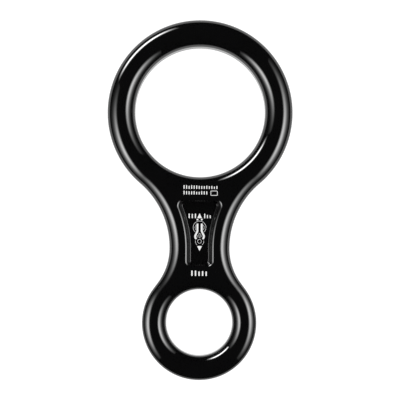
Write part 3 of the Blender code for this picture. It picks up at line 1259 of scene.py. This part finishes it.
def turn(centre: Vector, radius: float, start: float, end: float, count: int) -> list[Vector]:
    """Points along an arc whose angles are in degrees."""
    angles = [math.radians(start + (end - start) * i / count) for i in range(count + 1)]
    return [on_circle(centre, radius, angle) for angle in angles]


def in_mm(*corners: tuple[float, float]) -> list[Vector]:
    """Level points from pairs in millimetres."""
    return [Vector((x, y, 0.0)) * MM for x, y in corners]


@dataclass
class FaceMarks:
    """Every light mark on the face: rows, leaflet frame, load arrows and threading picture."""

    material: bpy.types.Material
    line: float = 0.12 * MM
    strand_width: float = 0.76 * MM
    tail_width: float = 0.7 * MM
    bend: float = 0.5 * MM

    large_rim: float = 2.65 * MM
    large_bore: float = 1.85 * MM
    small_rim: float = 1.75 * MM
    small_bore: float = 0.82 * MM
    slot_radius: float = 0.285 * MM
    slot_half_length: float = 0.61 * MM
    arrow_half_width: float = 1.0 * MM
    arrow_height: float = 2.05 * MM
    arrow_corner: float = 0.08 * MM
    frame_half_size_mm: tuple[float, float] = (1.35, 0.9)
    frame_line: float = 0.2 * MM

    def rows(self) -> list[CodeRow]:
        """The rows of ticks.

        Returns:
            The rows on the web and under the pocket, then the groups beside the upper arrow.
        """
        counts = {"upper": 14, "lower": 10, "batch": 5}
        rows = [CodeRow(f"mark_code_row_{name}", ticks, ticks) for name, ticks in counts.items()]
        rows += [CodeRow("mark_load_ticks_left", 3, 0), CodeRow("mark_load_ticks_right", 3, 1)]
        return rows

    def pairs(self) -> dict[str, tuple[float, list[Vector]]]:
        """Lines on the right of the picture, which the left repeats, with their widths.

        Returns:
            (width, points) by the name of the pair.
        """
        shank = in_mm((0.9, -9.75), (0.9, -12.9))
        hook = in_mm((1.35, -13.85), (1.8, -14.75), (1.82, -15.4), (1.4, -16.2))
        return {
            "rope_tail": (self.tail_width, in_mm((0.85, -7.85), (0.95, -8.48))),
            "rope_strand": (self.strand_width, shank + hook),
            "neck_line": (self.line, in_mm((1.03, -14.5), (0.93, -15.0), (1.03, -15.5))),
            "large_bore_line": (self.line, turn(Vector(), self.large_bore, 34, -34, 12)),
            "small_eye_line": (self.line, turn(Vector(), self.small_rim, 12, -55, 12)),
        }

    def slot(self) -> list[Vector]:
        """The long hole in the drawn neck."""
        up = Vector((0.0, self.slot_half_length, 0.0))
        return turn(up, self.slot_radius, 0, 180, 10) + turn(-up, self.slot_radius, 180, 360, 10)

    def arrow(self, height: float) -> list[Vector]:
        """An arrowhead on a level base, pointing down where its height is negative."""
        half = self.arrow_half_width
        return [Vector((-half, 0.0, 0.0)), Vector((half, 0.0, 0.0)), Vector((0.0, height, 0.0))]

    def leaflet(self) -> list[Vector]:
        """The corners of the leaflet frame."""
        x, y = self.frame_half_size_mm
        return in_mm((-x, -y), (x, -y), (x, y), (-x, y))

    def marks(self) -> list[Mark]:
        """The threading picture, the load arrows and the leaflet frame.

        Returns:
            Every mark that is a line or a filled shape.
        """
        marks = []
        for name, (width, points) in self.pairs().items():
            for side, line in (("right", points), ("left", [mirrored(point) for point in points])):
                marks.append(Mark(f"mark_{name}_{side}", line, width, corner=self.bend))
        large_rim = turn(Vector(), self.large_rim, 225, -45, 60)
        small_bore = turn(Vector(), self.small_bore, 0, 350, 35)
        up, down = self.arrow(self.arrow_height), self.arrow(-self.arrow_height)
        bar = self.frame_line
        return marks + [
            Mark("mark_large_eye_line", large_rim, self.line),
            Mark("mark_small_bore_line", small_bore, self.line, closed=True),
            Mark("mark_neck_slot", self.slot(), self.line, closed=True),
            Mark("mark_load_arrow_up", up, corner=self.arrow_corner),
            Mark("mark_load_arrow_down", down, corner=self.arrow_corner),
            Mark("mark_leaflet_frame", self.leaflet(), bar, closed=True, corner=bar),
        ]

    def build(self) -> None:
        """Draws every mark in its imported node's place."""
        trees = MarkTrees()
        for mark in (*self.rows(), *self.marks()):
            mark.build(trees, self.material)


# ---------------------------------------------------------------- the studio


@dataclass(frozen=True)
class Softbox:
    """A lit sheet, hot in the middle and fading smoothly to its edges. It lights only the polish."""

    name: str
    place: Vector
    aim: Vector
    core: tuple[float, float]
    brightness: float
    flatness: float = 4.0
    reach: tuple[float, float] = (1.6, 3.0)

    def material(self) -> bpy.types.Material:
        """The glow: a bell shape whose spread along each side is the core's.

        Returns:
            The material.
        """
        material = bpy.data.materials.new(self.name)
        material.use_nodes = True
        graph = Graph(material.node_tree)
        graph.tree.nodes.remove(graph.tree.nodes["Principled BSDF"])
        place = graph.add("ShaderNodeTexCoord").outputs["Object"]
        across, along, _ = graph.parts(place)
        far = (across / self.core[0]).math("ABSOLUTE").math("POWER", self.flatness)
        far = far + (along / self.core[1]).math("POWER", 2.0)
        bell = (far * -0.5).math("EXPONENT") * self.brightness
        glow = graph.make("ShaderNodeEmission", {"Strength": bell})
        graph.feed(graph.tree.nodes["Material Output"].inputs["Surface"], glow.outputs[0])
        return material

    def build(self) -> bpy.types.Object:
        """Makes the sheet, which faces its aim and is never seen itself.

        Returns:
            The sheet, staged.
        """
        x, y = (reach * core for reach, core in zip(self.reach, self.core))
        mesh = bpy.data.meshes.new(self.name)
        mesh.from_pydata([(-x, -y, 0), (x, -y, 0), (x, y, 0), (-x, y, 0)], [], [(0, 1, 2, 3)])
        mesh.materials.append(self.material())
        obj = bpy.data.objects.new(self.name, mesh)
        obj.location = self.place
        obj.rotation_mode = "QUATERNION"
        obj.rotation_quaternion = (self.aim - self.place).to_track_quat("-Z", "Y")
        obj.visible_camera = False
        obj.visible_diffuse = False
        obj.visible_shadow = False
        bpy.context.scene.collection.objects.link(obj)
        obj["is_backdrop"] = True
        return obj


@dataclass
class Studio:
    """The pale floor, the soft lights and the camera above."""

    grain: bpy.types.NodeTree
    camera_height: float = 600 * MM
    framed_width: float = 167.5 * MM
    sensor_width: float = 36.0
    camera_shift: tuple[float, float] = (0.12 * MM, 0.18 * MM)
    camera_offset: float = -30 * MM
    roll: float = math.radians(0.27)
    floor_size: float = 6.0
    floor_shade: float = 0.3
    floor_mottle: float = 0.02
    floor_roughness: float = 0.85
    floor_roughness_spread: float = 0.1
    floor_grain_scales: tuple[float, float] = (400.0, 20.0)
    floor_glow: float = 0.92
    ambient: float = 1.2
    side_distance: float = 320 * MM
    side_height: float = 388 * MM
    side_offsets: tuple[float, float] = (-85 * MM, -14 * MM)
    side_spreads: tuple[float, float] = (108 * MM, 137 * MM)
    side_depth: float = 106 * MM
    side_flatness: float = 2.0
    side_reach: tuple[float, float] = (2.6, 3.0)
    side_brightness: float = 10.3
    key_distance: float = 1500 * MM
    key_azimuth: float = math.radians(127)
    key_elevation: float = math.radians(27.5)
    key_core: tuple[float, float] = (365 * MM, 100 * MM)
    key_brightness: float = 32.0

    def floor(self) -> None:
        """A plain pale floor under the descender."""
        material = bpy.data.materials.new("studio_floor")
        material.use_nodes = True
        graph = Graph(material.node_tree)
        shader = graph.tree.nodes["Principled BSDF"]
        grain = graph.use(self.grain, dict(zip(GRAIN_INPUTS, self.floor_grain_scales)))
        fine, drift = (Value(graph, grain.outputs[name]) - 0.5 for name in ("Grain", "Drift"))
        bright = fine * self.floor_mottle + self.floor_shade
        graph.feed(shader.inputs["Base Color"], graph.vector(bright, bright, bright))
        rough = drift * self.floor_roughness_spread + self.floor_roughness
        graph.feed(shader.inputs["Roughness"], rough)
        shader.inputs["Specular IOR Level"].default_value = 0.0
        shader.inputs["Emission Color"].default_value = (1.0, 1.0, 1.0, 1.0)
        shader.inputs["Emission Strength"].default_value = self.floor_glow

        half = self.floor_size / 2
        corners = [(-half, -half, 0), (half, -half, 0), (half, half, 0), (-half, half, 0)]
        mesh = bpy.data.meshes.new("studio_floor")
        mesh.from_pydata(corners, [], [(0, 1, 2, 3)])
        mesh.materials.append(material)
        floor = bpy.data.objects.new("studio_floor", mesh)
        bpy.context.scene.collection.objects.link(floor)
        floor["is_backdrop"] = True

    def world(self) -> None:
        """Even pale surroundings that light the floor but stay out of the polish."""
        world = bpy.data.worlds.new("studio")
        world.use_nodes = True
        background = world.node_tree.nodes["Background"]
        background.inputs["Color"].default_value = (1.0, 1.0, 1.0, 1.0)
        background.inputs["Strength"].default_value = self.ambient
        world.cycles_visibility.glossy = False
        bpy.context.scene.world = world

    def lights(self) -> None:
        """A soft box on each side and a long low key from the upper left."""
        sides = zip(("softbox_left", "softbox_right"), (-1, 1), self.side_offsets, self.side_spreads)
        for name, side, along, spread in sides:
            place = Vector((side * self.side_distance, along, self.side_height))
            aim = Vector((0.0, along, self.side_height))
            core = (spread, self.side_depth)
            shape = (self.side_flatness, self.side_reach)
            Softbox(name, place, aim, core, self.side_brightness, *shape).build()
        place = on_circle(Vector(), self.key_distance * math.cos(self.key_elevation), self.key_azimuth)
        place.z = self.key_distance * math.sin(self.key_elevation)
        Softbox("softbox_key", place, Vector(), self.key_core, self.key_brightness).build()

    def camera(self) -> None:
        """A camera that looks straight down from a little towards the small eye.

        The lens's shift keeps the descender in the middle.
        """
        low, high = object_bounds()
        camera = bpy.data.cameras.new("camera")
        camera.sensor_width = self.sensor_width
        camera.lens = self.sensor_width * self.camera_height / self.framed_width
        camera.shift_y = -self.camera_offset / self.framed_width
        obj = bpy.data.objects.new("camera", camera)
        middle = (low + high) / 2
        upwards = Vector((-math.sin(self.roll), math.cos(self.roll), 0.0))
        obj.location = middle + Vector((*self.camera_shift, self.camera_height))
        obj.location += upwards * self.camera_offset
        obj.rotation_euler = (0.0, 0.0, self.roll)
        bpy.context.scene.collection.objects.link(obj)
        bpy.context.scene.camera = obj

    def build(self) -> None:
        """Sets the whole studio."""
        self.floor()
        self.world()
        self.lights()
        self.camera()
        bpy.context.scene.view_settings.view_transform = "Standard"


def main() -> None:
    """Builds the descender and its studio."""
    logging.basicConfig(level=logging.INFO, format="%(name)s: %(message)s")
    grain, hairlines = grain_group(), hairline_group()
    low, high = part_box("descender_body")
    anodised = AnodisedFinish(grain, hairlines, (low.z + high.z) / 2).material()
    marking = LaserMarkFinish(grain, hairlines).material()

    ForgedBody(anodised).build()
    FaceMarks(marking).build()
    Studio(grain).build()


if __name__ == "__main__":
    main()
